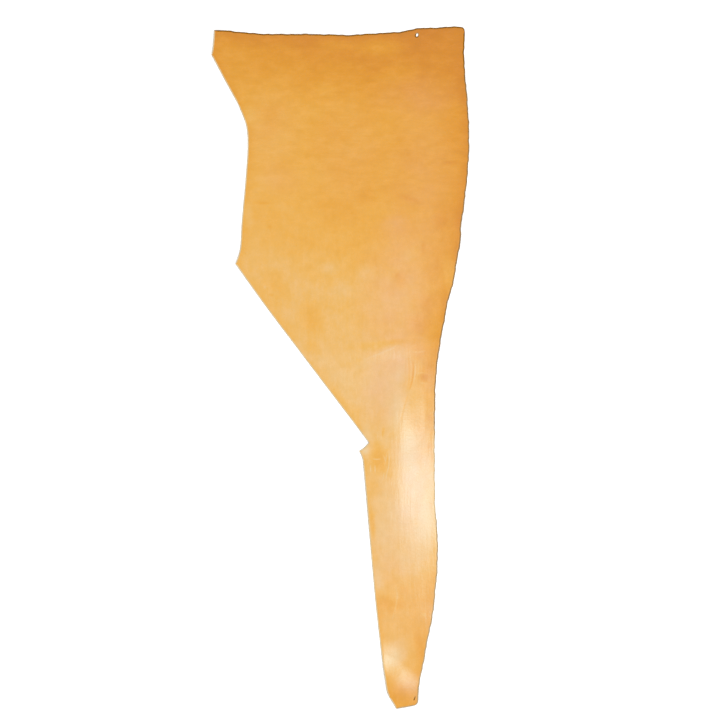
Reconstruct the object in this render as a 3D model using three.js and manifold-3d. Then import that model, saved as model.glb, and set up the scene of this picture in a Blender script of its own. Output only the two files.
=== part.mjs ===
// One piece of vegetable-tanned cowhide from the belly side of a hide: a broad end that narrows
// to the long strip of the leg. It lies grain side up on a flat surface, as it is sold and stored.
// Millimetres, +Z up. The origin is on that surface, under the middle of the piece.
// +Y runs to the broad end and +X to the belly's own edge.

import * as THREE from "three";
import { mergeVertices } from "three/addons/utils/BufferGeometryUtils.js";
import Module from "manifold-3d";

// Driving dimensions
const LENGTH = 1466;
const WIDTH = 554;
const THICKNESS = 2.6;

// The hole near the broad end that the hide hangs from, and the slit near the end of the leg.
// across is measured from the left-most point of the piece, and down from its top-most point.
// lean is the turn of the long side from +Y towards +X, in degrees.
const HANGING_HOLE = { across: 442, down: 18, width: 7.6, length: 11.2, lean: 24 };
const LEG_SLIT = { across: 436, down: 1444, width: 2.4, length: 9, lean: 26 };

// The outline, clockwise from the left corner of the broad end. Each stretch runs smoothly through
// its points and ends where the next begins. A raw edge is the hide's own, and a bit uneven.
const OUTLINE = [
  {
    name: "broad end",
    edge: "raw",
    through: [
      { across: 6, down: 8 },
      { across: 37, down: 8.8 },
      { across: 80, down: 13.2 },
      { across: 130, down: 15.9 },
      { across: 177, down: 15.9 },
      { across: 231, down: 16.4 },
      { across: 295, down: 17.8 },
      { across: 360, down: 13.6 },
      { across: 403, down: 11.3 },
      { across: 424, down: 6.9 },
      { across: 446, down: 3.4 },
      { across: 489, down: 1.6 },
      { across: 534, down: 0 },
      { across: 542, down: 2.5 },
      { across: 544.5, down: 10 },
    ],
  },
  {
    name: "belly",
    edge: "raw",
    through: [
      { across: 544.5, down: 10 },
      { across: 543.5, down: 72 },
      { across: 551, down: 170 },
      { across: 554, down: 248 },
      { across: 551, down: 312 },
      { across: 542, down: 392 },
      { across: 536.6, down: 430 },
      { across: 534.8, down: 467 },
      { across: 527, down: 506 },
      { across: 521.5, down: 545 },
      { across: 510.5, down: 583 },
      { across: 502.5, down: 622 },
      { across: 489, down: 699 },
      { across: 482.5, down: 760 },
      { across: 480.5, down: 850 },
      { across: 480, down: 940 },
      { across: 481.5, down: 1040 },
      { across: 485.5, down: 1082 },
      { across: 486.3, down: 1151 },
      { across: 482.5, down: 1203 },
      { across: 474, down: 1276 },
      { across: 468.6, down: 1298 },
      { across: 453, down: 1383 },
      { across: 446.5, down: 1413 },
      { across: 444.5, down: 1440 },
      { across: 443.7, down: 1453 },
      { across: 437.3, down: 1458.4 },
    ],
  },
  {
    name: "leg end",
    edge: "raw",
    through: [
      { across: 437.3, down: 1458.4 },
      { across: 420, down: 1462 },
      { across: 397, down: 1466 },
    ],
  },
  {
    name: "leg corner",
    edge: "cut",
    through: [
      { across: 397, down: 1466 },
      { across: 391, down: 1455 },
      { across: 382.5, down: 1441.5 },
    ],
  },
  {
    name: "leg side",
    edge: "cut",
    through: [
      { across: 382.5, down: 1441.5 },
      { across: 377, down: 1427.5 },
      { across: 373, down: 1403 },
      { across: 367, down: 1362 },
      { across: 353.8, down: 1249 },
      { across: 340.5, down: 1105 },
      { across: 327.5, down: 955 },
      { across: 324, down: 927 },
      { across: 317.3, down: 911.8 },
    ],
  },
  {
    name: "step",
    edge: "cut",
    through: [
      { across: 317.3, down: 911.8 },
      { across: 327.5, down: 905 },
      { across: 338, down: 894 },
    ],
  },
  {
    name: "slant",
    edge: "cut",
    through: [
      { across: 338, down: 894 },
      { across: 201.5, down: 714 },
      { across: 110, down: 592.5 },
      { across: 51.5, down: 510 },
    ],
  },
  {
    name: "flank",
    edge: "cut",
    through: [
      { across: 51.5, down: 510 },
      { across: 60.8, down: 481 },
      { across: 65, down: 420 },
      { across: 73.5, down: 325 },
      { across: 77.8, down: 252 },
      { across: 74.5, down: 213 },
      { across: 57, down: 166.5 },
    ],
  },
  {
    name: "shank slant",
    edge: "cut",
    through: [
      { across: 57, down: 166.5 },
      { across: 28, down: 114 },
      { across: 0, down: 61 },
    ],
  },
  {
    name: "shank end",
    edge: "cut",
    through: [
      { across: 0, down: 61 },
      { across: 3, down: 44 },
      { across: 6, down: 8 },
    ],
  },
];

// Low swells where the leather stands off the surface. Each has its middle, half its length,
// half its breadth, the turn of its length from +X in degrees, and its height.
const SWELLS = [
  { name: "leg arch", across: 389, down: 985, halfLength: 235, halfBreadth: 100, turn: -86, rise: 5 },
  { name: "leg arch top", across: 403, down: 815, halfLength: 105, halfBreadth: 60, turn: -82, rise: 3.4 },
  { name: "brow", across: 350, down: 690, halfLength: 165, halfBreadth: 35, turn: 5, rise: 1.2 },
  { name: "leg side", across: 470, down: 1318, halfLength: 95, halfBreadth: 62, turn: -60, rise: 2 },
  { name: "leg tip", across: 397, down: 1429, halfLength: 130, halfBreadth: 60, turn: -38, rise: 4.5 },
  { name: "leg tip side", across: 357, down: 1375, halfLength: 58, halfBreadth: 63, turn: -30, rise: 3.5 },
  { name: "belly upper", across: 562, down: 190, halfLength: 110, halfBreadth: 60, turn: 88, rise: 2.5 },
  { name: "belly middle", across: 552, down: 440, halfLength: 125, halfBreadth: 62, turn: 98, rise: 3 },
  { name: "belly lower", across: 498, down: 690, halfLength: 90, halfBreadth: 44, turn: 100, rise: 2.5 },
  { name: "shank corner", across: -6, down: 22, halfLength: 90, halfBreadth: 66, turn: 60, rise: 4 },
  { name: "flank corner", across: 40, down: 520, halfLength: 84, halfBreadth: 62, turn: 70, rise: 3.5 },
  { name: "broad end middle", across: 215, down: 2, halfLength: 140, halfBreadth: 58, turn: 0, rise: 2.5 },
];

// Unevenness of a raw edge: waves of these lengths and depths along it, added together,
// which fade out over a distance at the ends of a stretch
const RAGGED = [
  { wave: 61, depth: 0.35 },
  { wave: 27, depth: 0.3 },
  { wave: 16, depth: 0.2 },
];
const RAGGED_FADE = 24;

// The sheet's grid reaches past the outline, and is finest over the folds of the leg
const COLUMNS = [
  { from: -20, to: 318, cells: 12 },
  { from: 318, to: 500, cells: 14 },
  { from: 500, to: 574, cells: 4 },
];
const ROWS = [
  { from: -20, to: 640, cells: 24 },
  { from: 640, to: 780, cells: 12 },
  { from: 780, to: 1300, cells: 30 },
  { from: 1300, to: 1486, cells: 16 },
];

// Steps along the outline, and sides of half a hole
const STEP_ALONG = { raw: 8, cut: 16 };
const HOLE_SIDES = 5;

const LEATHER = { color: 0xe8a852, roughness: 0.45, metalness: 0 };

// A row's place in the part's frame
function placeOf({ across, down }) {
  return new THREE.Vector2(across - WIDTH / 2, LENGTH / 2 - down);
}

// How far the leather stands off the surface at a place
function riseAt(x, y) {
  let rise = 0;
  for (const swell of SWELLS) {
    const from = new THREE.Vector2(x, y).sub(placeOf(swell));
    from.rotateAround(new THREE.Vector2(), -THREE.MathUtils.degToRad(swell.turn));
    const reach = (from.x / swell.halfLength) ** 2 + (from.y / swell.halfBreadth) ** 2;
    rise += reach < 1 ? swell.rise * (1 - reach) ** 2 : 0;
  }
  return rise;
}

// How far a raw edge strays outwards at a distance along it, and not at all near its ends
function strayAt(along, length) {
  const fade = Math.min(1, along / RAGGED_FADE, (length - along) / RAGGED_FADE);
  const stray = RAGGED.map(({ wave, depth }) => depth * Math.sin((2 * Math.PI * along) / wave));
  return fade * stray.reduce((sum, part) => sum + part, 0);
}

// Even steps along one stretch of the outline, without its last point
function pointsOf({ edge, through }) {
  const corners = through.map(placeOf).map(({ x, y }) => new THREE.Vector3(x, y, 0));
  const curve = new THREE.CatmullRomCurve3(corners, false, "centripetal");
  const length = curve.getLength();
  const steps = Math.ceil(length / STEP_ALONG[edge]);
  const points = [];
  for (let i = 0; i < steps; i++) {
    const { x, y } = curve.getPointAt(i / steps);
    const along = curve.getTangentAt(i / steps);
    const stray = edge === "raw" ? strayAt((i / steps) * length, length) : 0;
    points.push(new THREE.Vector2(x - along.y * stray, y + along.x * stray));
  }
  return points;
}

// An oval hole as a path to cut along, against the way round of the outline
function ovalOf(hole) {
  const { x, y } = placeOf(hole);
  const turn = -THREE.MathUtils.degToRad(hole.lean);
  return new THREE.Path().absellipse(x, y, hole.width / 2, hole.length / 2, 0, 2 * Math.PI, false, turn);
}

// The outline with its two holes, as a die to cut the sheet with
function cuttingDie(height) {
  const outline = new THREE.Shape(OUTLINE.flatMap(pointsOf));
  outline.holes.push(ovalOf(HANGING_HOLE), ovalOf(LEG_SLIT));
  const die = new THREE.ExtrudeGeometry(outline, {
    depth: height,
    bevelEnabled: false,
    curveSegments: HOLE_SIDES,
  });
  return die.translate(0, 0, -height / 2);
}

// The places of a grid's lines
function linesOf(bands) {
  const lines = [bands[0].from];
  for (const { from, to, cells } of bands) {
    for (let i = 1; i <= cells; i++) {
      lines.push(from + (i * (to - from)) / cells);
    }
  }
  return lines;
}

// A sheet of leather a little larger than the piece, lying in its swells:
// a box of unit cells whose corners are moved to the grid's lines and raised
function lyingSheet() {
  const acrossLines = linesOf(COLUMNS);
  const downLines = linesOf(ROWS);
  const columns = acrossLines.length - 1;
  const rows = downLines.length - 1;
  const sheet = new THREE.BoxGeometry(columns, rows, THICKNESS, columns, rows, 1);
  sheet.translate(columns / 2, -rows / 2, THICKNESS / 2);
  const points = sheet.attributes.position;
  for (let i = 0; i < points.count; i++) {
    const across = acrossLines[Math.round(points.getX(i))];
    const down = downLines[Math.round(-points.getY(i))];
    const { x, y } = placeOf({ across, down });
    points.setXYZ(i, x, y, points.getZ(i) + riseAt(x, y));
  }
  return sheet;
}

const wasm = await Module();
wasm.setup();

// A closed geometry as a solid that can be cut
function solidOf(geometry) {
  geometry.deleteAttribute("normal");
  geometry.deleteAttribute("uv");
  const merged = mergeVertices(geometry);
  return new wasm.Manifold(
    new wasm.Mesh({
      numProp: 3,
      vertProperties: new Float32Array(merged.attributes.position.array),
      triVerts: new Uint32Array(merged.index.array),
    }),
  );
}

// A solid as a geometry, set with its box's middle over the origin
function centredGeometry(solid) {
  const { vertProperties, triVerts } = solid.getMesh();
  const geometry = new THREE.BufferGeometry();
  geometry.setAttribute("position", new THREE.BufferAttribute(vertProperties, 3));
  geometry.setIndex(new THREE.BufferAttribute(triVerts, 1));
  geometry.computeBoundingBox();
  const middle = geometry.boundingBox.getCenter(new THREE.Vector3());
  geometry.translate(-middle.x, -middle.y, -geometry.boundingBox.min.z);
  geometry.computeVertexNormals();
  return geometry;
}

const highest = THICKNESS + SWELLS.reduce((sum, swell) => sum + swell.rise, 0);
const leather = solidOf(lyingSheet()).intersect(solidOf(cuttingDie(2 * highest)));
const hide = new THREE.Mesh(centredGeometry(leather), new THREE.MeshStandardMaterial(LEATHER));
hide.name = "hide";

const part = new THREE.Group();
part.add(hide);

export default part;
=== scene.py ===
"""The look of one piece of vegetable-tanned cowhide that lies flat, grain side up.

Metres, +Z up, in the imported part's frame. +Y runs to the broad end and +X to the belly's raw edge.
Places on the hide are given as across, from its left-most point, and down, from its top-most point.
"""

import math
from collections import namedtuple

import bpy
import numpy as np
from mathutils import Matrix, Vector, noise
from mathutils.geometry import delaunay_2d_cdt
from mathutils.kdtree import KDTree


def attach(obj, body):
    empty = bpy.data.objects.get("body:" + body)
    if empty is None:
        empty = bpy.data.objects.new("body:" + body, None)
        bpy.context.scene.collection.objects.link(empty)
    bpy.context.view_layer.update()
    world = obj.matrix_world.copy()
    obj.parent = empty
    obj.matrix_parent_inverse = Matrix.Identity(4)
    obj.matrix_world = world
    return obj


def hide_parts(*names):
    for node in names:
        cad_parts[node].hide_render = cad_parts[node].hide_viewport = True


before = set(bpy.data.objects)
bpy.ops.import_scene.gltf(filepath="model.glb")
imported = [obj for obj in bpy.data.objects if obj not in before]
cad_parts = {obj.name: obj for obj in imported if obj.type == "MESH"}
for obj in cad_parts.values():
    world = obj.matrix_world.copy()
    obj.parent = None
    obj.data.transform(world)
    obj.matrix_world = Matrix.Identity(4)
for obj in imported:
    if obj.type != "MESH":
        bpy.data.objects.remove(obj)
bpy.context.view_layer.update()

# Driving dimensions
WIDTH = 0.554
LENGTH = 1.466
THICKNESS = 0.0026

Hole = namedtuple("Hole", "across down width length lean funnel slant")
Stretch = namedtuple("Stretch", "name edge through")
Ring = namedtuple("Ring", "height raw_in cut_in")
Swell = namedtuple("Swell", "name across down half_length half_breadth turn rise")
Crease = namedtuple("Crease", "name through breadth rise tone")
Mark = namedtuple("Mark", "name across down half_length half_breadth turn tone")

# Low relief: its depth, its grain size across and along the hide, and its seed
Relief = namedtuple("Relief", "depth across along seed")

# A material's noise: grain size along X, Y and Z, finer levels, the share of each, and a turn about Z
Pattern = namedtuple("Pattern", "size levels fine turn", defaults=(0.5, 0.0))
Bump = namedtuple("Bump", "strength distance")

# The hole that the hide hangs from, and the slit near the end of the leg, whose lips almost close.
# lean is the turn of the long side from +Y towards +X, in degrees. funnel widens the grain side, and slant
# moves it from the flesh side along X and Y.
HANGING_HOLE = Hole(0.4418, 0.0182, 0.0046, 0.0074, 24, 0.0020, (-0.0005, -0.0005))
LEG_SLIT = Hole(0.4362, 1.4438, 0.0002, 0.0080, 22, 0.0008, (0.0, 0.0))

# The outline, clockwise from the left corner of the broad end, as across and down.
# Each stretch runs smoothly through its points. A raw edge is the hide's own, a cut one is a knife's.
OUTLINE = [
    Stretch("broad end", "raw", [
        (0.006, 0.008), (0.037, 0.0088), (0.080, 0.0132), (0.130, 0.0159), (0.177, 0.0159),
        (0.231, 0.0164), (0.295, 0.0178), (0.360, 0.0136), (0.403, 0.0113), (0.424, 0.0069),
        (0.446, 0.0034), (0.489, 0.0016), (0.534, 0.0), (0.542, 0.0025), (0.5445, 0.010),
    ]),
    Stretch("belly", "raw", [
        (0.5445, 0.010), (0.5435, 0.072), (0.551, 0.170), (0.554, 0.248), (0.551, 0.312),
        (0.542, 0.392), (0.5366, 0.430), (0.5348, 0.467), (0.527, 0.506), (0.5215, 0.545),
        (0.5105, 0.583), (0.5025, 0.622), (0.489, 0.699), (0.4825, 0.760), (0.4805, 0.850),
        (0.480, 0.940), (0.4815, 1.040), (0.4855, 1.082), (0.4863, 1.151), (0.4825, 1.203),
        (0.474, 1.276), (0.4686, 1.298), (0.453, 1.383), (0.4465, 1.413), (0.4445, 1.440),
        (0.4437, 1.453), (0.4373, 1.4584),
    ]),
    Stretch("leg end", "raw", [(0.4373, 1.4584), (0.420, 1.462), (0.397, 1.466)]),
    Stretch("leg corner", "cut", [(0.397, 1.466), (0.391, 1.455), (0.3825, 1.4415)]),
    Stretch("leg side", "cut", [
        (0.3825, 1.4415), (0.377, 1.4275), (0.373, 1.403), (0.367, 1.362), (0.3538, 1.249),
        (0.3405, 1.105), (0.3275, 0.955), (0.324, 0.927), (0.3173, 0.9118),
    ]),
    Stretch("step", "cut", [(0.3173, 0.9118), (0.3275, 0.905), (0.338, 0.894)]),
    Stretch("slant", "cut", [(0.338, 0.894), (0.2015, 0.714), (0.110, 0.5925), (0.0515, 0.510)]),
    Stretch("flank", "cut", [
        (0.0515, 0.510), (0.0608, 0.481), (0.065, 0.420), (0.0735, 0.325), (0.0778, 0.252),
        (0.0745, 0.213), (0.057, 0.1665),
    ]),
    Stretch("shank slant", "cut", [(0.057, 0.1665), (0.028, 0.114), (0.0, 0.061)]),
    Stretch("shank end", "cut", [(0.0, 0.061), (0.003, 0.044), (0.006, 0.008)]),
]

# Unevenness of a raw edge: lengths and depths of waves along it, added together, which fade out over a
# distance at a stretch's ends
RAGGED = [(0.061, 0.00035), (0.027, 0.0003), (0.016, 0.0002)]
RAGGED_FADE = 0.024

# Low swells where the leather stands off the surface, with the turn of their length from +X in degrees
SWELLS = [
    Swell("leg arch", 0.389, 0.985, 0.235, 0.100, -86, 0.0050),
    Swell("leg arch top", 0.403, 0.815, 0.105, 0.060, -82, 0.0034),
    Swell("brow", 0.350, 0.690, 0.165, 0.035, 5, 0.0012),
    Swell("leg side", 0.470, 1.318, 0.095, 0.062, -60, 0.0020),
    Swell("leg tip", 0.397, 1.429, 0.130, 0.060, -38, 0.0045),
    Swell("leg tip side", 0.357, 1.375, 0.058, 0.063, -30, 0.0035),
    Swell("belly upper", 0.562, 0.190, 0.110, 0.060, 88, 0.0025),
    Swell("belly middle", 0.552, 0.440, 0.125, 0.062, 98, 0.0030),
    Swell("belly lower", 0.498, 0.690, 0.090, 0.044, 100, 0.0025),
    Swell("shank corner", -0.006, 0.022, 0.090, 0.066, 60, 0.0040),
    Swell("flank corner", 0.040, 0.520, 0.084, 0.062, 70, 0.0035),
    Swell("broad end middle", 0.215, 0.002, 0.140, 0.058, 0, 0.0025),
]

# Creases and scratches: the line, its breadth, its rise and how much paler or darker it is. At the brow and
# knee, darker tones are painted shade in the folds and beside the ridges, and paler tones painted highlight
# on the ridges; a scratch's paler tone is its own.
CREASES = [
    # Brow and knee: painted shade in the folds, painted highlight on the ridges
    Crease("brow fold", [(0.262, 0.694), (0.336, 0.685), (0.373, 0.678), (0.409, 0.672), (0.466, 0.673)],
           0.0110, -0.0002, -0.03),
    Crease("brow ridge", [(0.322, 0.717), (0.348, 0.708), (0.380, 0.695), (0.402, 0.686), (0.414, 0.698)],
           0.0044, 0.0001, 0.08),
    Crease("brow ridge shade",
           [(0.335, 0.700), (0.360, 0.691), (0.388, 0.680), (0.410, 0.677), (0.424, 0.686)],
           0.0090, 0.0, -0.04),
    Crease("brow ridge end", [(0.426, 0.698), (0.443, 0.699), (0.462, 0.695)], 0.0034, 0.00006, 0.09),
    Crease("knee crease", [(0.431, 0.715), (0.433, 0.735), (0.431, 0.760), (0.425, 0.781)],
           0.0036, -0.00018, -0.23),
    Crease("knee crease lower", [(0.424, 0.786), (0.415, 0.813), (0.410, 0.831), (0.403, 0.856)],
           0.0034, -0.00008, -0.09),
    Crease("knee crease left",
           [(0.420, 0.701), (0.424, 0.721), (0.425, 0.742), (0.424, 0.764), (0.420, 0.783)],
           0.0030, -0.00005, -0.10),
    Crease("knee crease right", [(0.437, 0.724), (0.437, 0.745), (0.434, 0.766)], 0.0024, 0.00005, 0.08),
    Crease("knee line upper", [(0.441, 0.745), (0.452, 0.744), (0.466, 0.745)], 0.0024, 0.00005, 0.11),
    Crease("knee line lower", [(0.447, 0.766), (0.457, 0.766), (0.466, 0.767)], 0.0024, 0.00005, 0.10),
    Crease("scratch across", [(0.345, 0.929), (0.355, 0.930), (0.365, 0.929)], 0.0024, 0.0, 0.22),
    Crease("scratch upright", [(0.3815, 0.910), (0.3810, 0.940), (0.3740, 0.972)], 0.0020, 0.0, 0.18),
    Crease("scratch upright beside", [(0.3770, 0.915), (0.3720, 0.945)], 0.0018, 0.0, 0.14),
    Crease("scratch crossing", [(0.3690, 0.920), (0.3740, 0.936)], 0.0018, 0.0, 0.16),
    Crease("scratch lower", [(0.3710, 0.957), (0.3680, 0.976)], 0.0018, 0.0, 0.14),
    Crease("scratch upper", [(0.3575, 0.868), (0.3565, 0.889)], 0.0018, 0.0, 0.08),
    Crease("scratch upper beside", [(0.3640, 0.868), (0.3660, 0.889)], 0.0018, 0.0, 0.08),
    Crease("scratch left", [(0.3410, 0.941), (0.3420, 0.958)], 0.0018, 0.0, 0.20),
    Crease("scratch middle", [(0.3510, 0.942), (0.3515, 0.960)], 0.0018, 0.0, 0.24),
    Crease("scratch long", [(0.395, 1.198), (0.399, 1.226), (0.397, 1.241), (0.391, 1.264), (0.387, 1.280)],
           0.0024, 0.0, 0.13),
]

# Soft marks: darker smears and paler patches of the tannage, and near the gleams some of painted highlight
# and painted shade
MARKS = [
    Mark("top pale", 0.358, 0.042, 0.085, 0.036, 0, 0.10),
    Mark("top pale left", 0.268, 0.036, 0.075, 0.026, 0, 0.08),
    Mark("upper pale", 0.245, 0.136, 0.036, 0.026, 0, 0.07),
    Mark("upper pale right", 0.408, 0.096, 0.064, 0.034, 20, 0.05),
    Mark("flank shade", 0.125, 0.205, 0.060, 0.030, 90, -0.05),
    Mark("middle shade", 0.285, 0.320, 0.130, 0.100, 90, -0.03),
    Mark("middle shade right", 0.332, 0.368, 0.032, 0.032, 0, -0.05),
    Mark("flank pale upper", 0.080, 0.188, 0.030, 0.020, 90, 0.06),
    Mark("flank pale lower", 0.077, 0.405, 0.040, 0.018, 95, 0.09),
    Mark("smear left", 0.109, 0.379, 0.024, 0.005, 0, -0.08),
    Mark("spot left", 0.125, 0.431, 0.007, 0.006, 0, -0.08),
    Mark("smear slanting", 0.424, 0.370, 0.048, 0.009, -19, -0.07),
    Mark("belly shade", 0.491, 0.416, 0.036, 0.024, 90, -0.06),
    Mark("belly pale", 0.514, 0.535, 0.070, 0.028, 98, 0.14),
    Mark("smear right", 0.513, 0.293, 0.026, 0.006, 0, -0.08),
    Mark("patch middle right", 0.423, 0.490, 0.030, 0.022, 20, 0.06),
    Mark("patch middle", 0.332, 0.532, 0.034, 0.030, 0, 0.06),
    Mark("patch middle left", 0.252, 0.520, 0.032, 0.020, 0, 0.06),
    Mark("patch lower", 0.276, 0.566, 0.036, 0.028, 0, 0.05),
    Mark("slant shade", 0.140, 0.562, 0.080, 0.045, -53, -0.09),
    Mark("slant shade right", 0.214, 0.630, 0.080, 0.036, -76, -0.08),
    Mark("slant shade lower", 0.216, 0.692, 0.034, 0.022, -53, -0.07),
    Mark("belly shade lower", 0.463, 0.600, 0.030, 0.022, 90, -0.07),
    Mark("streak right", 0.455, 0.474, 0.026, 0.006, 88, -0.07),
    Mark("body shade", 0.383, 0.566, 0.024, 0.020, 0, -0.04),
    Mark("body shade right", 0.405, 0.545, 0.026, 0.026, 90, -0.11),
    Mark("spot middle", 0.400, 0.534, 0.008, 0.006, 0, -0.08),
    Mark("spot flank", 0.128, 0.577, 0.008, 0.005, 0, -0.10),
    Mark("dot flank", 0.115, 0.560, 0.005, 0.005, 0, 0.08),
    Mark("leg top pale", 0.392, 0.780, 0.130, 0.085, 80, 0.06),
    # Painted highlight on the leg's gleam, and at gleam right lower painted shade within it
    Mark("gleam pale", 0.424, 0.920, 0.080, 0.032, 88, 0.14),
    Mark("gleam spot upper", 0.437, 0.955, 0.018, 0.011, 100, 0.07),
    Mark("gleam spot lower", 0.431, 1.003, 0.018, 0.009, 90, 0.07),
    Mark("gleam right", 0.461, 0.938, 0.026, 0.014, 90, 0.08),
    Mark("gleam right lower", 0.461, 0.987, 0.020, 0.014, 90, -0.08),
    # Painted highlight where the leg's gleam reaches the belly's edge
    Mark("leg right pale", 0.462, 1.030, 0.130, 0.036, 90, 0.06),
    # Painted highlight on the gleam near the tip
    Mark("ankle pale", 0.397, 1.350, 0.060, 0.032, 60, 0.10),
    Mark("brow left pale", 0.330, 0.726, 0.034, 0.014, 15, 0.05),
    Mark("brow upper shade", 0.447, 0.640, 0.040, 0.030, 0, -0.11),
    Mark("brow right shade", 0.444, 0.696, 0.030, 0.026, 0, -0.08),
    Mark("knee shade", 0.465, 0.742, 0.038, 0.022, 90, -0.09),
    Mark("knee patch", 0.455, 0.754, 0.017, 0.013, 0, -0.13),
    Mark("knee band", 0.405, 0.738, 0.050, 0.014, 85, 0.03),
    # Painted highlight at the top of the leg's gleam
    Mark("gleam top", 0.396, 0.828, 0.062, 0.024, 80, 0.08),
    Mark("leg side upper", 0.469, 0.841, 0.014, 0.010, 90, -0.09),
    Mark("leg side lower", 0.469, 0.902, 0.012, 0.009, 90, -0.08),
    Mark("step pale", 0.332, 0.893, 0.070, 0.022, 90, 0.11),
    Mark("step patch", 0.362, 0.932, 0.045, 0.028, 90, -0.11),
    Mark("step line", 0.368, 0.871, 0.016, 0.005, 80, -0.08),
    Mark("step tip", 0.330, 0.912, 0.016, 0.011, 40, 0.13),
    Mark("leg left upper", 0.350, 0.990, 0.032, 0.020, 95, -0.06),
    Mark("leg left lower", 0.388, 1.180, 0.048, 0.032, 95, -0.06),
    Mark("leg edge streak", 0.347, 1.072, 0.050, 0.008, 95, -0.13),
    # Painted shade: a dark streak within the leg's gleam
    Mark("leg gleam painted shade", 0.440, 1.046, 0.040, 0.007, 90, -0.08),
    Mark("leg patch upper", 0.411, 1.214, 0.020, 0.018, 0, -0.06),
    Mark("leg edge pale", 0.357, 1.195, 0.050, 0.014, 95, 0.07),
    Mark("leg patch left", 0.378, 1.240, 0.024, 0.020, 90, -0.07),
    Mark("leg patch lower", 0.388, 1.258, 0.014, 0.012, 0, -0.06),
    Mark("ankle shade", 0.402, 1.243, 0.020, 0.018, 0, -0.06),
    Mark("leg dot", 0.456, 1.264, 0.007, 0.007, 0, 0.12),
    Mark("tip side", 0.448, 1.334, 0.055, 0.016, 100, -0.08),
    # Painted shade at the tip, where it turns up away from the light
    Mark("tip end", 0.407, 1.432, 0.040, 0.032, 0, -0.09),
]

# Where the tan is hazy, pinker than its tone alone would be: a haze that is partly the tan's own and partly
# painted sheen, most on the leg, at its tip and on the body around the leg's gleam. A row below 0 clears the
# haze of others.
HAZE_AND_SHEEN_ROWS = [
    Mark("haze right", 0.455, 0.370, 0.320, 0.110, 90, 0.34),
    Mark("haze left", 0.130, 0.230, 0.130, 0.075, 90, 0.18),
    Mark("haze top right", 0.440, 0.150, 0.130, 0.060, 0, 0.28),
    Mark("haze middle", 0.300, 0.280, 0.160, 0.110, 90, 0.18),
    Mark("haze upper left", 0.150, 0.330, 0.065, 0.045, 0, 0.26),
    Mark("haze upper middle", 0.395, 0.428, 0.044, 0.032, 0, 0.38),
    Mark("haze knee", 0.458, 0.760, 0.055, 0.036, 90, 0.40),
    Mark("haze body", 0.394, 0.590, 0.210, 0.110, 88, 0.72),
    Mark("haze gap in the body", 0.396, 0.536, 0.036, 0.028, 0, -0.18),
    Mark("haze brow", 0.424, 0.702, 0.100, 0.070, 0, 0.34),
    Mark("haze brow right", 0.461, 0.706, 0.032, 0.026, 0, 0.20),
    Mark("haze gap at the fold", 0.362, 0.684, 0.085, 0.014, 8, -0.60),
    Mark("haze below the brow", 0.374, 0.775, 0.115, 0.075, 80, 0.70),
    # Painted sheen on the leg's gleam and at the leg's tip
    Mark("haze leg", 0.445, 0.960, 0.200, 0.075, 90, 0.90),
    Mark("haze lower leg", 0.410, 1.180, 0.360, 0.110, 93, 0.40),
    Mark("haze gap at the ankle", 0.396, 1.232, 0.060, 0.045, 90, -0.22),
    Mark("haze tip", 0.428, 1.420, 0.055, 0.045, 0, 0.40),
]

# The haze that the mottle's pale flecks have all over the hide
BLOOM = 0.032

# How pale the grain side is along the hide, at MIDDLE across, partly the tan's own change and partly painted
# sheen and falloff of light, paler towards the leg; and how much a metre to the right changes it
TONE_DOWN = [
    (0.0, 0.40), (0.039, 0.43), (0.115, 0.535), (0.19, 0.630), (0.34, 0.65), (0.416, 0.665), (0.49, 0.705),
    (0.566, 0.765), (0.64, 0.77), (0.717, 0.81), (0.94, 0.81), (1.017, 0.86), (1.093, 0.90), (1.168, 0.85),
    (1.243, 0.73), (1.318, 0.81), (1.361, 0.83), (1.415, 0.73), (1.466, 0.69),
]
MIDDLE = 0.30
TONE_ACROSS = -0.30

# The belly and the rim: how far in from the edge each reaches, and how much paler or darker it is there,
# the belly from place to place along the hide
BELLY_BAND = 0.085
BELLY_TONE = [
    (0.0, 0.10), (0.06, 0.06), (0.13, -0.05), (0.35, -0.08), (0.50, -0.13), (0.62, -0.18), (0.72, -0.13),
    (0.85, -0.07), (0.95, 0.01), (1.15, -0.03), (1.30, -0.08), (1.466, -0.03),
]
RIM_BAND = 0.034
RIM_TONE = -0.08

# How brown and ragged a raw edge is along the hide, from 0, as pale as a cut one, to 1. The low stretch from
# 0.90 to 1.04 is painted highlight, where the leg's gleam meets the belly's edge.
RAWNESS_AND_EDGE_HIGHLIGHT = [
    (0.0, 1.0), (0.06, 1.0), (0.15, 0.8), (0.70, 0.8), (0.85, 0.7), (0.90, 0.15), (1.04, 0.15), (1.09, 0.5),
    (1.30, 0.5), (1.466, 0.45),
]

# Mesh steps
RIM_STEP = 0.0022
HOLE_STEP = 0.0008
GRID_BODY = 0.0040
GRID_LEG = 0.0026
GRID_FLESH = 0.0080

# The shares of a grid's step that it keeps clear of the edges and creases
GRAIN_CLEAR = 0.7
FLESH_CLEAR = 0.6

# Steps in a span of a curve, the limit to a corner's mitre, the distance under which points are one, and the
# angle in degrees from which an edge of the mesh is sharp
SPAN_STEPS = 40
MITRE_LIMIT = 0.4
TOUCHING = 1e-7
SHARP_ANGLE = 38

# A crease: the step along its line, then as shares of its breadth its mesh's step, its mesh's side lines and
# how far off it still shows. The power shapes how it fades towards its ends.
CREASE_STEP = 0.0008
CREASE_MESH_STEP = 0.8
CREASE_SIDES = (-1.0, -0.5, 0.0, 0.5, 1.0)
CREASE_REACH = 2.0
CREASE_END_POWER = 0.6

# Where the leg's finer grid and ripples begin, and the length over which the ripples set in
LEG_FROM = 0.66
LEG_FADE = 0.14

# Low relief of the grain side: ripples along the leg, and an unevenness all over
RIPPLES = Relief(0.00010, 0.015, 0.060, 3.1)
UNEVENNESS = Relief(0.00022, 0.055, 0.045, 7.7)

# Where the growth lines begin to turn from across the hide to along it, and over what length
RUN_FROM = 0.24
RUN_FADE = 0.32

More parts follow.
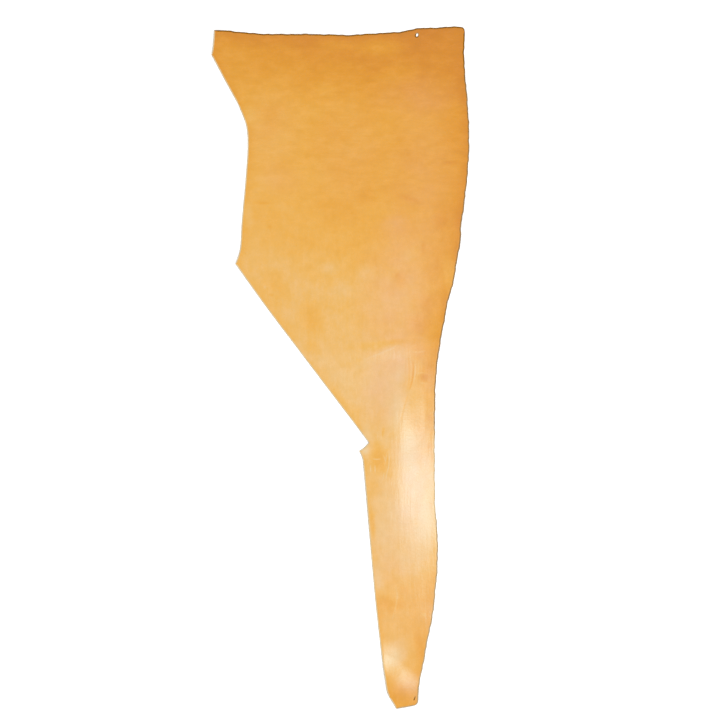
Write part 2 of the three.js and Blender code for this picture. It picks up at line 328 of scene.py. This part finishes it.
# The edge's section from the surface up: height share, and how far in a raw and a cut edge lie there
RINGS = [
    Ring(0.00, 0.0006, 0.0000),
    Ring(0.30, 0.0000, 0.0000),
    Ring(0.65, 0.0006, 0.0003),
    Ring(0.92, 0.0017, 0.0012),
    Ring(1.00, 0.0030, 0.0025),
]

# The most that a ring lies in at a corner of the outline, and how much more for each metre from it
CORNER_IN = 0.0012
CORNER_EASE = 0.3

# How much painted shade a slanting hole's wall has, as the raw edge's brown: a quarter round from the side
# that its slant shows, and at the least
HOLE_WALL_SHADE = 0.8
HOLE_WALL_SHADE_LEAST = 0.5

# Grain side, as linear colours: the tan by its tone, and the haze and painted sheen over it
TONES = [
    (0.20, (0.420, 0.125, 0.001)),
    (0.42, (0.500, 0.174, 0.002)),
    (0.52, (0.549, 0.216, 0.005)),
    (0.62, (0.580, 0.256, 0.019)),
    (0.70, (0.599, 0.290, 0.038)),
    (0.76, (0.602, 0.315, 0.063)),
    (0.82, (0.599, 0.340, 0.105)),
    (0.90, (0.594, 0.373, 0.149)),
    (1.00, (0.584, 0.415, 0.219)),
]
HAZE_AND_SHEEN = (0.600, 0.317, 0.225, 1.0)

# What the light and the mottle multiply the tan by, at their least and most
DIMMER = (0.92, 0.94, 0.95, 1.0)
BRIGHTER = (1.08, 1.06, 1.05, 1.0)
DULLER = (0.94, 0.96, 0.97, 1.0)
WARMER = (1.06, 1.04, 1.03, 1.0)

# Patterns of the grain side, and how far each takes the tone up and down
CLOUDS = Pattern((0.090, 0.060, 1.0), 2.0)
MOTTLE_ACROSS = Pattern((0.034, 0.018, 1.0), 4.0, 0.70)
MOTTLE_ALONG = Pattern((0.018, 0.028, 1.0), 4.0, 0.72)
LINES_ACROSS = Pattern((0.030, 0.0045, 1.0), 3.0)
LINES_ALONG = Pattern((0.0060, 0.040, 1.0), 3.0)
DIMPLES = Pattern((0.0060, 0.0050, 1.0), 2.0)
SPECKLE = Pattern((0.0030, 0.0030, 1.0), 3.0)
DRIFT = Pattern((0.055, 0.050, 1.0), 4.0, 0.60, 0.6)
LIGHT = Pattern((0.018, 0.013, 1.0), 4.0, 0.80, 0.2)
CLOUD_TONE = 0.14
MOTTLE_TONE = 0.14
LINE_TONE = 0.05
SPECKLE_TONE = 0.04

# Pits: their spacing, and how far from a pit's middle, as a share of it, the grain is level again
PIT_SPACING = 0.0014
PIT_RIM = 0.45

# How strongly the drifting haze and painted sheen show, and where in the mottle's range its pale flecks lie
HAZE_AND_SHEEN_SHARE = 0.66
FLECKS_FROM = 0.42
FLECKS_TO = 0.68

# The grain's fine relief, with each pattern's share of it, and its polish, with the tint of the gleam
GRAIN_BUMP = Bump(0.25, 0.0004)
LINE_HEIGHT = 1.8
PIT_HEIGHT = 0.5
SPECKLE_HEIGHT = 0.4
DIMPLE_HEIGHT = 0.8
ROUGHNESS = 0.27
ROUGHNESS_SWING = 0.08
GLOSS = 0.333
GLEAM = (0.60, 1.0, 1.0, 1.0)

# Flesh side
FLESH_TONES = [(0.0, (0.36, 0.24, 0.14)), (0.5, (0.56, 0.41, 0.26)), (1.0, (0.72, 0.58, 0.42))]
FLESH_CLOUDS = Pattern((0.09, 0.06, 1.0), 4.0)
FIBRES = Pattern((0.0012, 0.009, 1.0), 4.0, turn=0.5)
CROSS_FIBRES = Pattern((0.008, 0.0012, 1.0), 4.0, turn=0.3)
FLESH_TONE = 0.45
FLESH_CLOUD_TONE = 0.35
FIBRE_TONE = 0.7
FLESH_BUMP = Bump(0.7, 0.0008)
FLESH_ROUGHNESS = 0.92
FLESH_GLOSS = 0.2
NAP = 0.25
NAP_ROUGHNESS = 0.6

# Edges
CUT_TONES = [(0.2, (0.46, 0.33, 0.17)), (0.8, (0.63, 0.49, 0.29))]
RAW_TONES = [(0.2, (0.105, 0.042, 0.002)), (0.8, (0.285, 0.120, 0.008))]
EDGE_FIBRES = Pattern((0.0022, 0.0022, 0.0006), 3.0)
BLOTS = Pattern((0.012, 0.012, 0.004), 3.0)
EDGE_FIBRE_TONE = 0.4
BLOT_TONE = 0.6
EDGE_BUMP = Bump(0.5, 0.0004)
EDGE_ROUGHNESS = 0.75

# Material slots of the hide's faces
GRAIN, EDGE, FLESH = range(3)

# Studio: the floor, the sky's strength level with the floor and overhead, the key lamp and the camera
FLOOR_SIZE = 30.0
FLOOR_DROP = 0.0003
FLOOR_COLOUR = (0.93, 0.93, 0.93, 1.0)
SKY_COLOUR = (1.0, 1.0, 1.0, 1.0)
SKY_LOW = 0.50
SKY_HIGH = 1.55
KEY_PLACE = (0.537, -0.386, 2.2)
KEY_AIM = (0.1, -0.1, 0.0)
KEY_SIZE = 0.36
KEY_POWER = 14.4
KEY_COLOUR = (0.95, 1.0, 1.06)
SENSOR = 36.0
CAMERA_HEIGHT = 5.0
CAMERA_REACH = 100.0
VIEW_WIDTH = 1.548
VIEW_MIDDLE = (0.042, 0.0162)


def place(across, down):
    """A place on the hide in the part's frame."""
    return np.array([across - WIDTH / 2, LENGTH / 2 - down])


def down_of(points):
    """How far down the hide each point lies."""
    return LENGTH / 2 - points[:, 1]


def along_hide(points, stops):
    """A value at each point from a list of places down the hide and their values."""
    return np.interp(down_of(points), *zip(*stops))


def further_down(points, start, fade):
    """0 above a place down the hide and 1 below it, changing smoothly over a length."""
    share = np.clip((down_of(points) - start) / fade, 0.0, 1.0)
    return share * share * (3 - 2 * share)


def fine_line(points):
    """A close-stepped smooth line through the points: a centripetal Catmull-Rom curve."""
    points = [np.array(p, float) for p in points]
    if len(points) == 2:
        return np.array(points)
    ends = [2 * points[0] - points[1], *points, 2 * points[-1] - points[-2]]
    steps = np.linspace(0.0, 1.0, SPAN_STEPS, endpoint=False)[:, None]
    spans = []
    for p0, p1, p2, p3 in zip(ends, ends[1:], ends[2:], ends[3:]):
        d0, d1, d2 = (math.sqrt(np.linalg.norm(b - a)) for a, b in ((p0, p1), (p1, p2), (p2, p3)))
        m1 = ((p1 - p0) / d0 - (p2 - p0) / (d0 + d1) + (p2 - p1) / d1) * d1
        m2 = ((p2 - p1) / d1 - (p3 - p1) / (d1 + d2) + (p3 - p2) / d2) * d1
        bend = 2 * p1 - 2 * p2 + m1 + m2
        lean = -3 * p1 + 3 * p2 - 2 * m1 - m2
        spans.append(((bend * steps + lean) * steps + m1) * steps + p1)
    return np.vstack([*spans, points[-1]])


def stepped(row, step):
    """Points at even steps along the line of a stretch or crease, and how far along it each lies."""
    line = fine_line([place(*p) for p in row.through])
    along = np.concatenate([[0.0], np.cumsum(np.linalg.norm(np.diff(line, axis=0), axis=1))])
    stops = np.linspace(0.0, along[-1], max(2, math.ceil(along[-1] / step) + 1))
    return np.column_stack([np.interp(stops, along, line[:, i]) for i in (0, 1)]), stops


def left_of(runs):
    """The unit direction to the left of each run."""
    return np.column_stack([-runs[:, 1], runs[:, 0]]) / np.linalg.norm(runs, axis=1)[:, None]


def outward(loop):
    """The outward direction at each point of a closed clockwise loop, long enough to mitre corners."""
    before = left_of(loop - np.roll(loop, 1, axis=0))
    after = left_of(np.roll(loop, -1, axis=0) - loop)
    middle = before + after
    return middle / np.maximum(0.5 * (middle**2).sum(axis=1), MITRE_LIMIT)[:, None]


def outline_loop():
    """The outline's points, and for each how raw its edge is (less by the leg's gleam, as painted
    highlight), if it is the belly's, and its rings' room.
    """
    points, raw, belly, room = [], [], [], []
    for stretch in OUTLINE:
        steps, along = stepped(stretch, RIM_STEP)
        to_corner = np.minimum(along, along[-1] - along)
        is_raw = stretch.edge == "raw"
        if is_raw:
            fade = np.clip(to_corner / RAGGED_FADE, 0.0, 1.0)
            stray = sum(depth * np.sin(2 * math.pi * along / wave) for wave, depth in RAGGED)
            steps = steps + left_of(np.gradient(steps, axis=0)) * (fade * stray)[:, None]
        points.append(steps[:-1])
        raw.append(np.full(len(steps) - 1, float(is_raw)))
        belly.append(np.full(len(steps) - 1, stretch.name == "belly"))
        room.append(CORNER_IN + CORNER_EASE * to_corner[:-1])
    loop, raw, belly, room = np.vstack(points), *map(np.concatenate, (raw, belly, room))
    middle = (loop.min(axis=0) + loop.max(axis=0)) / 2
    return loop - middle, raw * along_hide(loop, RAWNESS_AND_EDGE_HIGHLIGHT), belly, room


def hole_loop(hole):
    """The points of an oval hole, anticlockwise, so that its own outside is the leather's inside."""
    count = math.ceil(math.pi * (hole.width + hole.length) / 2 / HOLE_STEP)
    angle = np.linspace(0.0, 2 * math.pi, count, endpoint=False)
    oval = np.column_stack([hole.width / 2 * np.cos(angle), hole.length / 2 * np.sin(angle)])
    lean = math.radians(hole.lean)
    turn = np.array([[math.cos(lean), -math.sin(lean)], [math.sin(lean), math.cos(lean)]])
    return oval @ turn + place(hole.across, hole.down)


def hole_wall_shade(loop, hole):
    """How brown a hole's wall is at each point, as painted shade: most on the side that its slant shows, or
    all round.
    """
    slant = math.hypot(*hole.slant)
    if slant == 0.0:
        return np.ones(len(loop))
    away = loop - loop.mean(axis=0)
    facing = away @ np.array(hole.slant) / (slant * np.linalg.norm(away, axis=1))
    return np.clip(HOLE_WALL_SHADE + HOLE_WALL_SHADE * facing, HOLE_WALL_SHADE_LEAST, 1.0)


def edge_rings(loop, raw, room):
    """The loops of an edge's section, from the flesh side up to the grain side."""
    out = outward(loop)
    insets = [np.minimum(raw * ring.raw_in + (1 - raw) * ring.cut_in, room) for ring in RINGS]
    return [loop - out * inset[:, None] for inset in insets]


def hole_rings(loop, hole):
    """The loops of a hole's wall, from the flesh side up to the grain side."""
    out = outward(loop)
    slant = np.array(hole.slant)
    return [loop - out * hole.funnel * ring.height**2 + slant * ring.height for ring in RINGS]


def edge_sections(rim, raw, room):
    """Each edge's rings and how brown it is, the holes' brown being painted shade: the outline's first, then
    the holes'.
    """
    sections = [(edge_rings(rim, raw, room), raw)]
    for hole in (HANGING_HOLE, LEG_SLIT):
        loop = hole_loop(hole)
        sections.append((hole_rings(loop, hole), hole_wall_shade(loop, hole)))
    return sections


def dome(points, row):
    """A smooth dome over the oval of a swell or mark: 1 in its middle, 0 from its rim on."""
    away = points - place(row.across, row.down)
    turn = math.radians(row.turn)
    along = away[:, 0] * math.cos(turn) + away[:, 1] * math.sin(turn)
    across = away[:, 1] * math.cos(turn) - away[:, 0] * math.sin(turn)
    reach = (along / row.half_length) ** 2 + (across / row.half_breadth) ** 2
    return np.clip(1.0 - reach, 0.0, None) ** 2


def tree_of(points):
    """A tree that finds the nearest of these points."""
    tree = KDTree(len(points))
    for i, (x, y) in enumerate(points):
        tree.insert((x, y, 0.0), i)
    tree.balance()
    return tree


def distance(points, tree):
    """How far each point is from the nearest point of the tree."""
    return np.array([tree.find((x, y, 0.0))[2] for x, y in points])


def nearness(points, line, band):
    """1 on a line's points, falling to 0 at a band's breadth from them."""
    return np.clip(1.0 - distance(points, tree_of(line)) / band, 0.0, None)


def line_weight(points, row):
    """How strongly a crease shows at each point: 1 on its line, fading at its sides and ends."""
    line, along = stepped(row, CREASE_STEP)
    tree = tree_of(line)
    fade = np.sin(math.pi * np.clip(along / along[-1], 0.0, 1.0)) ** CREASE_END_POWER
    reach = CREASE_REACH * row.breadth
    close = (points >= line.min(axis=0) - reach) & (points <= line.max(axis=0) + reach)
    weight = np.zeros(len(points))
    for i in np.where(close.all(axis=1))[0]:
        _, nearest, away = tree.find((*points[i], 0.0))
        weight[i] = fade[nearest] * math.exp(-((away / (0.5 * row.breadth)) ** 2))
    return weight


def uneven(points, row):
    """Smooth noise of a relief's depth and grain size."""
    grain = [noise.noise((x / row.across, y / row.along, row.seed)) for x, y in points]
    return row.depth * np.array(grain)


def lie(points):
    """How far the leather stands off the surface."""
    return sum(row.rise * dome(points, row) for row in SWELLS)


def relief(points):
    """The grain side's own low relief: creases, ripples that run along the leg, and an unevenness."""
    creases = sum(row.rise * line_weight(points, row) for row in CREASES if row.rise)
    ripples = uneven(points, RIPPLES) * further_down(points, LEG_FROM, LEG_FADE)
    return creases + ripples + uneven(points, UNEVENNESS)


def tone_at(points, rim, belly):
    """How pale the tan is, from its change over the hide, its edges, creases and marks, with painted sheen,
    shade and highlight among them.
    """
    across = points[:, 0] + WIDTH / 2
    tone = along_hide(points, TONE_DOWN) + TONE_ACROSS * (across - MIDDLE)
    tone = tone + sum(row.tone * dome(points, row) for row in MARKS)
    tone = tone + sum(row.tone * line_weight(points, row) for row in CREASES)
    belly_tone = along_hide(points, BELLY_TONE) * nearness(points, rim[belly], BELLY_BAND)
    return tone + RIM_TONE * nearness(points, rim, RIM_BAND) ** 2 + belly_tone


def haze_and_sheen_at(points):
    """How hazy the tan is, partly its own haze and partly painted sheen."""
    return np.clip(sum(row.tone * dome(points, row) for row in HAZE_AND_SHEEN_ROWS), 0.0, 1.0)


def grid_points(step, low, high):
    """A triangular grid over a box."""
    columns = np.arange(low[0], high[0], step)
    rows = []
    for i, y in enumerate(np.arange(low[1], high[1], step * math.sqrt(0.75))):
        rows.append(np.column_stack([columns + (i % 2) * step / 2, np.full(len(columns), y)]))
    return np.vstack(rows)


def crease_points(row):
    """Points close along a crease and beside it, so that the mesh can carry it."""
    line, _ = stepped(row, CREASE_MESH_STEP * row.breadth)
    side = left_of(np.gradient(line, axis=0))
    return np.vstack([line + side * share * row.breadth for share in CREASE_SIDES])


def clear_of(points, tree, gap):
    """The points that lie further than gap from every point of the tree."""
    return points[distance(points, tree) > gap]


def grain_points(loops, low, high):
    """The grain side's points within its loops: along the creases, and on grids, the leg's the finer."""
    creases = np.vstack([crease_points(row) for row in CREASES])
    creases = clear_of(creases, tree_of(np.vstack(loops)), GRAIN_CLEAR * GRID_LEG)
    kept = tree_of(np.vstack([*loops, creases]))
    brow = LENGTH / 2 - LEG_FROM
    body = clear_of(grid_points(GRID_BODY, (low[0], brow), high), kept, GRAIN_CLEAR * GRID_BODY)
    leg = clear_of(grid_points(GRID_LEG, low, (high[0], brow)), kept, GRAIN_CLEAR * GRID_LEG)
    return np.vstack([creases, body, leg])


def flesh_points(loops, low, high):
    """The flesh side's points: a coarse grid clear of the grain side's loops."""
    return clear_of(grid_points(GRID_FLESH, low, high), tree_of(np.vstack(loops)), FLESH_CLEAR * GRID_FLESH)


def within(points, loop):
    """If each point lies inside a closed loop: a line to its right crosses it an odd number of times."""
    inside = np.zeros(len(points), bool)
    for (x0, y0), (x1, y1) in zip(loop, np.roll(loop, -1, axis=0)):
        level = (points[:, 1] < y0) != (points[:, 1] < y1)
        crossing = x0 + (points[level, 1] - y0) / (y1 - y0) * (x1 - x0)
        inside[level] ^= points[level, 0] < crossing
    return inside


def filled(loops, inner):
    """Triangles between the outer loop and the hole loops, through the inner points.

    Gives the points that the triangles use, the triangles, and where each loop's points went.
    """
    given = [Vector(p) for p in np.vstack([*loops, inner])]
    edges, starts = [], np.cumsum([0, *[len(loop) for loop in loops]])
    for start, loop in zip(starts, loops):
        edges += [(start + i, start + (i + 1) % len(loop)) for i in range(len(loop))]
    inside_only = 1
    points, _, faces, sources, _, _ = delaunay_2d_cdt(given, edges, [], inside_only, TOUCHING)
    points, faces = np.array([tuple(p) for p in points]), np.array(faces)
    middles = points[faces].mean(axis=1)
    for loop in loops[1:]:
        outside = ~within(middles, loop)
        faces, middles = faces[outside], middles[outside]
    used, faces = np.unique(faces, return_inverse=True)
    went = {}
    for new, old in enumerate(used):
        went.update(dict.fromkeys(sources[old], new))
    loop_indices = [[went[start + i] for i in range(len(loop))] for start, loop in zip(starts, loops)]
    return points[used], faces.reshape(-1, 3), loop_indices


def strip_faces(lower, upper):
    """Quads between two closed loops of point indices, facing away from the leather."""
    turns = zip(lower, np.roll(lower, -1), upper, np.roll(upper, -1))
    return [(a, c, d, b) for a, b, c, d in turns]


def mesh_of(name, verts, faces, slots, values):
    """A smooth mesh with its faces' material slots and the values that it holds at its points."""
    mesh = bpy.data.meshes.new(name)
    mesh.from_pydata(verts.tolist(), [], [tuple(map(int, face)) for face in faces])
    mesh.polygons.foreach_set("material_index", slots)
    mesh.polygons.foreach_set("use_smooth", [True] * len(faces))
    mesh.set_sharp_from_angle(angle=math.radians(SHARP_ANGLE))
    for value_name, value in values.items():
        mesh.attributes.new(value_name, "FLOAT", "POINT").data.foreach_set("value", value)
    mesh.validate()
    return mesh


def hide_mesh():
    """The hide as one closed mesh: the grain side, edges with their section, and the flesh side."""
    rim, raw, belly, room = outline_loop()
    sections = edge_sections(rim, raw, room)
    low_loops = [rings[0] for rings, _ in sections]
    top_loops = [rings[-1] for rings, _ in sections]
    box = rim.min(axis=0), rim.max(axis=0)
    top, top_faces, top_at = filled(top_loops, grain_points(top_loops, *box))
    under, under_faces, under_at = filled(low_loops, flesh_points(top_loops, *box))

    blocks = [
        np.column_stack([top, lie(top) + THICKNESS + relief(top)]),
        np.column_stack([under, lie(under)]),
    ]
    # How brown each edge point is: a raw edge's own brown, the holes' painted shade, and less on the belly's
    # edge by the leg's gleam as painted highlight
    browns = [np.zeros(len(top)), np.zeros(len(under))]
    faces = [*map(tuple, top_faces), *map(tuple, under_faces[:, ::-1] + len(top))]
    slots = [GRAIN] * len(top_faces) + [FLESH] * len(under_faces)
    count = len(top) + len(under)
    for (rings, brown), at_top, at_under in zip(sections, top_at, under_at):
        browns[0][at_top] = brown
        browns[1][at_under] = brown
        lower = np.array(at_under) + len(top)
        for ring, loop in zip(RINGS[1:-1], rings[1:-1]):
            blocks.append(np.column_stack([loop, lie(loop) + THICKNESS * ring.height]))
            browns.append(brown)
            upper = np.arange(count, count + len(loop))
            faces += strip_faces(lower, upper)
            count += len(loop)
            lower = upper
        faces += strip_faces(lower, np.array(at_top))
    slots += [EDGE] * (len(faces) - len(slots))

    verts = np.vstack(blocks)
    flat = verts[:, :2]
    values = {
        "tone": tone_at(flat, rim, belly),
        "haze_and_sheen": haze_and_sheen_at(flat),
        "run": further_down(flat, RUN_FROM, RUN_FADE),
        # raw carries the holes' painted shade and the painted highlight on the belly's edge as well as the
        # raw edges' brown
        "raw": np.concatenate(browns),
    }
    return mesh_of("hide_leather", verts, faces, slots, values)


def feed(tree, node, inputs):
    """Give a node's sockets, by name or number, their values or links."""
    for socket, value in inputs.items():
        if isinstance(value, bpy.types.NodeSocket):
            tree.links.new(value, node.inputs[socket])
        else:
            node.inputs[socket].default_value = value


def add(tree, kind, inputs, **settings):
    """A new shader node with its settings, and the values or links of its inputs."""
    node = tree.nodes.new("ShaderNode" + kind)
    for name, value in settings.items():
        setattr(node, name, value)
    feed(tree, node, inputs)
    return node


def new_material(name):
    """A material with its node tree and its one shader."""
    material = bpy.data.materials.new(name)
    material.use_nodes = True
    return material, material.node_tree, material.node_tree.nodes["Principled BSDF"]


def attribute(tree, name):
    """A value that the mesh holds at its points."""
    return add(tree, "Attribute", {}, attribute_name=name).outputs["Fac"]


def object_coords(tree):
    """Places in the object's own frame, in metres."""
    return add(tree, "TexCoord", {}).outputs["Object"]


def grains(tree, pattern):
    """Noise from 0 to 1 with a pattern's grains."""
    scale = [1 / size for size in pattern.size]
    mapping = {"Vector": object_coords(tree), "Rotation": (0.0, 0.0, pattern.turn), "Scale": scale}
    vector = add(tree, "Mapping", mapping).outputs["Vector"]
    inputs = {"Vector": vector, "Scale": 1.0, "Detail": pattern.levels, "Roughness": pattern.fine}
    return add(tree, "TexNoise", inputs).outputs["Fac"]


def pores(tree):
    """Small pits: 0 in a pit's middle, rising to the level between the pits."""
    inputs = {"Vector": object_coords(tree), "Scale": 1 / PIT_SPACING, "Randomness": 1.0}
    cells = add(tree, "TexVoronoi", inputs)
    return math_node(tree, "MINIMUM", cells.outputs["Distance"], PIT_RIM)


def math_node(tree, operation, *values):
    """The result of one sum on values or links."""
    return add(tree, "Math", dict(enumerate(values)), operation=operation).outputs["Value"]


def plus_share(tree, base, pattern, share):
    """The base raised and lowered by a pattern that runs from 0 to 1."""
    swing = math_node(tree, "MULTIPLY_ADD", pattern, share, -share / 2)
    return math_node(tree, "ADD", base, swing)


def mix_values(tree, share, first, second):
    """From the first value to the second by a share."""
    return add(tree, "Mix", {"Factor": share, "A": first, "B": second}).outputs["Result"]


def mix_colours(tree, share, first, second, blend="MIX"):
    """From the first colour to the second by a share, or another blend of the two."""
    node = add(tree, "Mix", {"Factor": share}, data_type="RGBA", blend_type=blend)
    a, b = (i for i, socket in enumerate(node.inputs) if socket.type == "RGBA")
    feed(tree, node, {a: first, b: second})
    return next(socket for socket in node.outputs if socket.type == "RGBA")


def times_colour(tree, first, second):
    """One colour times another."""
    return mix_colours(tree, 1.0, first, second, "MULTIPLY")


def colour_scale(tree, value, stops):
    """A colour for a value, from a list of places and colours."""
    ramp = add(tree, "ValToRGB", {"Fac": value})
    elements = ramp.color_ramp.elements
    while len(elements) < len(stops):
        elements.new(0.5)
    for element, (at, colour) in zip(elements, stops):
        element.position = at
        element.color = (*colour, 1.0)
    return ramp.outputs["Color"]


def bumped(tree, height, bump):
    """The direction of a surface with this fine relief."""
    inputs = {"Height": height, "Strength": bump.strength, "Distance": bump.distance}
    return add(tree, "Bump", inputs).outputs["Normal"]


def grain_colour(tree, mottle, lines, speckle):
    """The clouded tan, with haze and painted sheen in places, and its fine light and dark."""
    tone = attribute(tree, "tone")
    tone = plus_share(tree, tone, grains(tree, CLOUDS), CLOUD_TONE)
    tone = plus_share(tree, tone, mottle, MOTTLE_TONE)
    tone = plus_share(tree, tone, lines, LINE_TONE)
    tone = plus_share(tree, tone, speckle, SPECKLE_TONE)
    tan = colour_scale(tree, tone, TONES)
    drift = math_node(tree, "MULTIPLY", grains(tree, DRIFT), HAZE_AND_SHEEN_SHARE)
    haze_and_sheen = math_node(tree, "MULTIPLY", attribute(tree, "haze_and_sheen"), drift)
    fleck_range = {"Value": mottle, "From Min": FLECKS_FROM, "From Max": FLECKS_TO}
    flecks = add(tree, "MapRange", fleck_range).outputs["Result"]
    tan_with_haze_and_sheen = mix_colours(tree, math_node(tree, "MULTIPLY_ADD", flecks, BLOOM, haze_and_sheen), tan, HAZE_AND_SHEEN)
    shade = mix_colours(tree, grains(tree, LIGHT), DIMMER, BRIGHTER)
    warmth = mix_colours(tree, mottle, DULLER, WARMER)
    return times_colour(tree, times_colour(tree, tan_with_haze_and_sheen, shade), warmth)


def grain_material():
    """The smooth tan grain side: clouded tan, growth lines, pores and a soft polish."""
    material, tree, shader = new_material("grain_side")
    run = attribute(tree, "run")
    mottle = mix_values(tree, run, grains(tree, MOTTLE_ACROSS), grains(tree, MOTTLE_ALONG))
    lines = mix_values(tree, run, grains(tree, LINES_ACROSS), grains(tree, LINES_ALONG))
    speckle = grains(tree, SPECKLE)
    height = math_node(tree, "MULTIPLY", lines, LINE_HEIGHT)
    height = math_node(tree, "MULTIPLY_ADD", pores(tree), PIT_HEIGHT, height)
    height = math_node(tree, "MULTIPLY_ADD", speckle, SPECKLE_HEIGHT, height)
    height = math_node(tree, "MULTIPLY_ADD", grains(tree, DIMPLES), DIMPLE_HEIGHT, height)
    feed(tree, shader, {
        "Base Color": grain_colour(tree, mottle, lines, speckle),
        "Roughness": plus_share(tree, ROUGHNESS, mottle, ROUGHNESS_SWING),
        "Normal": bumped(tree, height, GRAIN_BUMP),
        "Specular IOR Level": GLOSS,
        "Specular Tint": GLEAM,
    })
    return material


def flesh_material():
    """The flesh side: pale matted fibres with a soft nap."""
    material, tree, shader = new_material("flesh_side")
    matted = math_node(tree, "MAXIMUM", grains(tree, FIBRES), grains(tree, CROSS_FIBRES))
    tone = plus_share(tree, FLESH_TONE, grains(tree, FLESH_CLOUDS), FLESH_CLOUD_TONE)
    tone = plus_share(tree, tone, matted, FIBRE_TONE)
    feed(tree, shader, {
        "Base Color": colour_scale(tree, tone, FLESH_TONES),
        "Normal": bumped(tree, matted, FLESH_BUMP),
        "Roughness": FLESH_ROUGHNESS,
        "Specular IOR Level": FLESH_GLOSS,
        "Sheen Weight": NAP,
        "Sheen Roughness": NAP_ROUGHNESS,
    })
    return material


def edge_material():
    """The cut through the leather: pale where a knife went, brown and ragged where raw, painted shade in the
    holes.
    """
    material, tree, shader = new_material("leather_edge")
    fibres = grains(tree, EDGE_FIBRES)
    pattern = math_node(tree, "MULTIPLY", fibres, EDGE_FIBRE_TONE)
    pattern = math_node(tree, "MULTIPLY_ADD", grains(tree, BLOTS), BLOT_TONE, pattern)
    cut = colour_scale(tree, pattern, CUT_TONES)
    raw = colour_scale(tree, pattern, RAW_TONES)
    feed(tree, shader, {
        # The raw share also browns the hole's and the slit's walls as painted shade, and is lowered as
        # painted highlight on the belly's edge by the leg's gleam
        "Base Color": mix_colours(tree, attribute(tree, "raw"), cut, raw),
        "Normal": bumped(tree, fibres, EDGE_BUMP),
        "Roughness": EDGE_ROUGHNESS,
        "Specular IOR Level": 0.0,
    })
    return material


def floor():
    """A plain pale floor, just under the hide."""
    bpy.ops.mesh.primitive_plane_add(size=FLOOR_SIZE, location=(0.0, 0.0, -FLOOR_DROP))
    ground = bpy.context.object
    ground.name = "floor"
    material, tree, shader = new_material("floor_white")
    feed(tree, shader, {"Base Color": FLOOR_COLOUR, "Roughness": 1.0, "Specular IOR Level": 0.0})
    ground.data.materials.append(material)


def sky():
    """White light from all round, stronger from above."""
    world = bpy.data.worlds.new("studio")
    world.use_nodes = True
    tree = world.node_tree
    direction = add(tree, "TexCoord", {}).outputs["Generated"]
    up = add(tree, "SeparateXYZ", {"Vector": direction}).outputs["Z"]
    height = math_node(tree, "MAXIMUM", up, 0.0)
    strength = math_node(tree, "MULTIPLY_ADD", height, SKY_HIGH - SKY_LOW, SKY_LOW)
    feed(tree, tree.nodes["Background"], {"Color": SKY_COLOUR, "Strength": strength})
    bpy.context.scene.world = world


def key_light():
    """A soft round lamp whose gleam falls on the leg."""
    data = bpy.data.lights.new("key", "AREA")
    data.shape = "DISK"
    data.size = KEY_SIZE
    data.energy = KEY_POWER
    data.color = KEY_COLOUR
    lamp = bpy.data.objects.new("key", data)
    lamp.location = KEY_PLACE
    lamp.rotation_euler = (Vector(KEY_AIM) - Vector(KEY_PLACE)).to_track_quat("-Z", "Y").to_euler()
    bpy.context.collection.objects.link(lamp)


def camera():
    """Straight above the hide, far enough off to see it square on."""
    data = bpy.data.cameras.new("camera")
    data.sensor_width = SENSOR
    data.lens = SENSOR * CAMERA_HEIGHT / VIEW_WIDTH
    data.clip_end = CAMERA_REACH
    eye = bpy.data.objects.new("camera", data)
    eye.location = (*VIEW_MIDDLE, CAMERA_HEIGHT)
    bpy.context.collection.objects.link(eye)
    bpy.context.scene.camera = eye


hide = bpy.data.objects.new("hide_leather", hide_mesh())
bpy.context.collection.objects.link(hide)
for make in (grain_material, edge_material, flesh_material):
    hide.data.materials.append(make())
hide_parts("hide")
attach(hide, "root")

floor()
sky()
key_light()
camera()
bpy.context.scene.view_settings.view_transform = "Standard"
